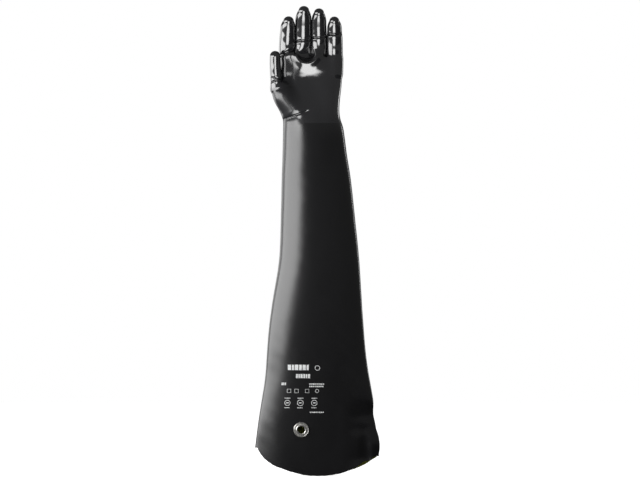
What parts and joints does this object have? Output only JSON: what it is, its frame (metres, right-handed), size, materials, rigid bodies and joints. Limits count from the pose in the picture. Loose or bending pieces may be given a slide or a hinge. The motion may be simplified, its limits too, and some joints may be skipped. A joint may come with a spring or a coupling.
{
  "type": "shoulder-length rubber work glove",
  "caption": "Left-hand shoulder-length rubber glove with a knit liner, a flared sleeve, curved bending fingers and a metal hanging eyelet near the cuff.",
  "frame": {"origin": "under the middle of the glove's bounding box, at the height of the lowest point of the cuff edge", "axes": "+Z from the cuff to the fingertips, -Y out of the palm, -X towards the thumb"},
  "size_m": [0.2084, 0.0746, 0.7869],
  "materials": {
    "sleeve_rubber": "satin moulded neoprene with a fine dipped surface",
    "hand_rubber": "glossy dipped neoprene",
    "liner_knit": "matt yellow-green knitted liner",
    "eyelet_metal": "nickel-plated, lightly brushed",
    "printed_marks": "thin off-white ink, slightly worn"
  },
  "bodies": {
    "upper_sleeve": {"upper_sleeve": "sleeve_rubber", "upper_sleeve_liner": "liner_knit", "eyelet_barrel": "eyelet_metal", "eyelet_washer": "eyelet_metal", "elbow_fold": "sleeve_rubber"},
    "forearm": {"forearm_sleeve": "sleeve_rubber", "forearm_liner": "liner_knit", "wrist_side_fold": "hand_rubber"},
    "wrist": {"wrist_band": "hand_rubber", "wrist_band_liner": "liner_knit", "wrist_bend_fold": "hand_rubber"},
    "hand": {"palm": "hand_rubber", "palm_liner": "liner_knit", "thumb_root": "hand_rubber", "thumb_root_liner": "liner_knit", "thumb_spread_fold": "hand_rubber", "index_knuckle_fold": "hand_rubber", "middle_knuckle_fold": "hand_rubber", "ring_knuckle_fold": "hand_rubber", "little_knuckle_fold": "hand_rubber"},
    "thumb_base": {"thumb_base": "hand_rubber", "thumb_base_liner": "liner_knit", "thumb_knuckle_fold": "hand_rubber"},
    "thumb_middle": {"thumb_middle": "hand_rubber", "thumb_middle_liner": "liner_knit", "thumb_tip_fold": "hand_rubber"},
    "thumb_tip": {"thumb_tip": "hand_rubber", "thumb_tip_liner": "liner_knit"},
    "index_base": {"index_base": "hand_rubber", "index_base_liner": "liner_knit", "index_middle_fold": "hand_rubber"},
    "index_middle": {"index_middle": "hand_rubber", "index_middle_liner": "liner_knit", "index_tip_fold": "hand_rubber"},
    "index_tip": {"index_tip": "hand_rubber", "index_tip_liner": "liner_knit"},
    "middle_base": {"middle_base": "hand_rubber", "middle_base_liner": "liner_knit", "middle_middle_fold": "hand_rubber"},
    "middle_middle": {"middle_middle": "hand_rubber", "middle_middle_liner": "liner_knit", "middle_tip_fold": "hand_rubber"},
    "middle_tip": {"middle_tip": "hand_rubber", "middle_tip_liner": "liner_knit"},
    "ring_base": {"ring_base": "hand_rubber", "ring_base_liner": "liner_knit", "ring_middle_fold": "hand_rubber"},
    "ring_middle": {"ring_middle": "hand_rubber", "ring_middle_liner": "liner_knit", "ring_tip_fold": "hand_rubber"},
    "ring_tip": {"ring_tip": "hand_rubber", "ring_tip_liner": "liner_knit"},
    "little_base": {"little_base": "hand_rubber", "little_base_liner": "liner_knit", "little_middle_fold": "hand_rubber"},
    "little_middle": {"little_middle": "hand_rubber", "little_middle_liner": "liner_knit", "little_tip_fold": "hand_rubber"},
    "little_tip": {"little_tip": "hand_rubber", "little_tip_liner": "liner_knit"}
  },
  "joints": [
    {"name": "elbow", "type": "hinge", "parent": "upper_sleeve", "child": "forearm", "pos_m": [-0.0035, 0.00745, 0.33], "axis": [1, 0, 0], "range_deg": [-5, 90], "stiffness_Nm_per_rad": 2, "deforming": ["elbow_fold"]},
    {"name": "wrist_tilt", "type": "hinge", "parent": "forearm", "child": "wrist", "pos_m": [-0.00624, 0.00745, 0.57], "axis": [0, -1, 0], "range_deg": [-25, 18], "stiffness_Nm_per_rad": 0.8, "deforming": ["wrist_side_fold"]},
    {"name": "wrist_bend", "type": "hinge", "parent": "wrist", "child": "hand", "pos_m": [-0.0035, 0.00745, 0.614], "axis": [1, 0, 0], "range_deg": [-40, 50], "stiffness_Nm_per_rad": 0.6, "deforming": ["wrist_bend_fold"]},
    {"name": "thumb_spread", "type": "hinge", "parent": "hand", "child": "thumb_base", "pos_m": [-0.067, -0.00255, 0.65], "axis": [0, -1, 0], "range_deg": [0, 25], "stiffness_Nm_per_rad": 0.05, "deforming": ["thumb_spread_fold"]},
    {"name": "thumb_knuckle", "type": "hinge", "parent": "thumb_base", "child": "thumb_middle", "pos_m": [-0.0683, -0.00555, 0.664], "axis": [1, 0, 0], "range_deg": [-10, 45], "stiffness_Nm_per_rad": 0.03, "deforming": ["thumb_knuckle_fold"]},
    {"name": "thumb_tip", "type": "hinge", "parent": "thumb_middle", "child": "thumb_tip", "pos_m": [-0.0701, -0.01105, 0.688], "axis": [1, 0, 0], "range_deg": [-12, 50], "stiffness_Nm_per_rad": 0.02, "deforming": ["thumb_tip_fold"]},
    {"name": "index_knuckle", "type": "hinge", "parent": "hand", "child": "index_base", "pos_m": [-0.0507, 0.00245, 0.71], "axis": [1, 0, 0], "range_deg": [-15, 50], "stiffness_Nm_per_rad": 0.05, "deforming": ["index_knuckle_fold"]},
    {"name": "index_middle", "type": "hinge", "parent": "index_base", "child": "index_middle", "pos_m": [-0.04944, -0.00212, 0.73152], "axis": [1, 0, 0], "range_deg": [-15, 60], "stiffness_Nm_per_rad": 0.03, "deforming": ["index_middle_fold"]},
    {"name": "index_tip", "type": "hinge", "parent": "index_middle", "child": "index_tip", "pos_m": [-0.0486, -0.01026, 0.74979], "axis": [1, 0, 0], "range_deg": [-9, 36], "stiffness_Nm_per_rad": 0.02, "deforming": ["index_tip_fold"]},
    {"name": "middle_knuckle", "type": "hinge", "parent": "hand", "child": "middle_base", "pos_m": [-0.0259, 0.00245, 0.7068], "axis": [1, 0, 0], "range_deg": [-15, 50], "stiffness_Nm_per_rad": 0.05, "deforming": ["middle_knuckle_fold"]},
    {"name": "middle_middle", "type": "hinge", "parent": "middle_base", "child": "middle_middle", "pos_m": [-0.0241, -0.00276, 0.73634], "axis": [1, 0, 0], "range_deg": [-15, 60], "stiffness_Nm_per_rad": 0.03, "deforming": ["middle_middle_fold"]},
    {"name": "middle_tip", "type": "hinge", "parent": "middle_middle", "child": "middle_tip", "pos_m": [-0.0229, -0.01593, 0.76218], "axis": [1, 0, 0], "range_deg": [-9, 36], "stiffness_Nm_per_rad": 0.02, "deforming": ["middle_tip_fold"]},
    {"name": "ring_knuckle", "type": "hinge", "parent": "hand", "child": "ring_base", "pos_m": [0.0005, 0.00245, 0.7055], "axis": [1, 0, 0], "range_deg": [-15, 50], "stiffness_Nm_per_rad": 0.05, "deforming": ["ring_knuckle_fold"]},
    {"name": "ring_middle", "type": "hinge", "parent": "ring_base", "child": "ring_middle", "pos_m": [0.00239, -0.00267, 0.73455], "axis": [1, 0, 0], "range_deg": [-15, 60], "stiffness_Nm_per_rad": 0.03, "deforming": ["ring_middle_fold"]},
    {"name": "ring_tip", "type": "hinge", "parent": "ring_middle", "child": "ring_tip", "pos_m": [0.00365, -0.01538, 0.7595], "axis": [1, 0, 0], "range_deg": [-9, 36], "stiffness_Nm_per_rad": 0.02, "deforming": ["ring_tip_fold"]},
    {"name": "little_knuckle", "type": "hinge", "parent": "hand", "child": "little_base", "pos_m": [0.0281, 0.00295, 0.707], "axis": [1, 0, 0], "range_deg": [-15, 50], "stiffness_Nm_per_rad": 0.05, "deforming": ["little_knuckle_fold"]},
    {"name": "little_middle", "type": "hinge", "parent": "little_base", "child": "little_middle", "pos_m": [0.02864, -0.00144, 0.72958], "axis": [1, 0, 0], "range_deg": [-15, 60], "stiffness_Nm_per_rad": 0.03, "deforming": ["little_middle_fold"]},
    {"name": "little_tip", "type": "hinge", "parent": "little_middle", "child": "little_tip", "pos_m": [0.029, -0.01052, 0.74906], "axis": [1, 0, 0], "range_deg": [-9, 36], "stiffness_Nm_per_rad": 0.02, "deforming": ["little_tip_fold"]}
  ],
  "couplings": [
    {"joint": "index_tip", "follows": "index_middle", "ratio": 0.6},
    {"joint": "middle_tip", "follows": "middle_middle", "ratio": 0.6},
    {"joint": "ring_tip", "follows": "ring_middle", "ratio": 0.6},
    {"joint": "little_tip", "follows": "little_middle", "ratio": 0.6}
  ]
}
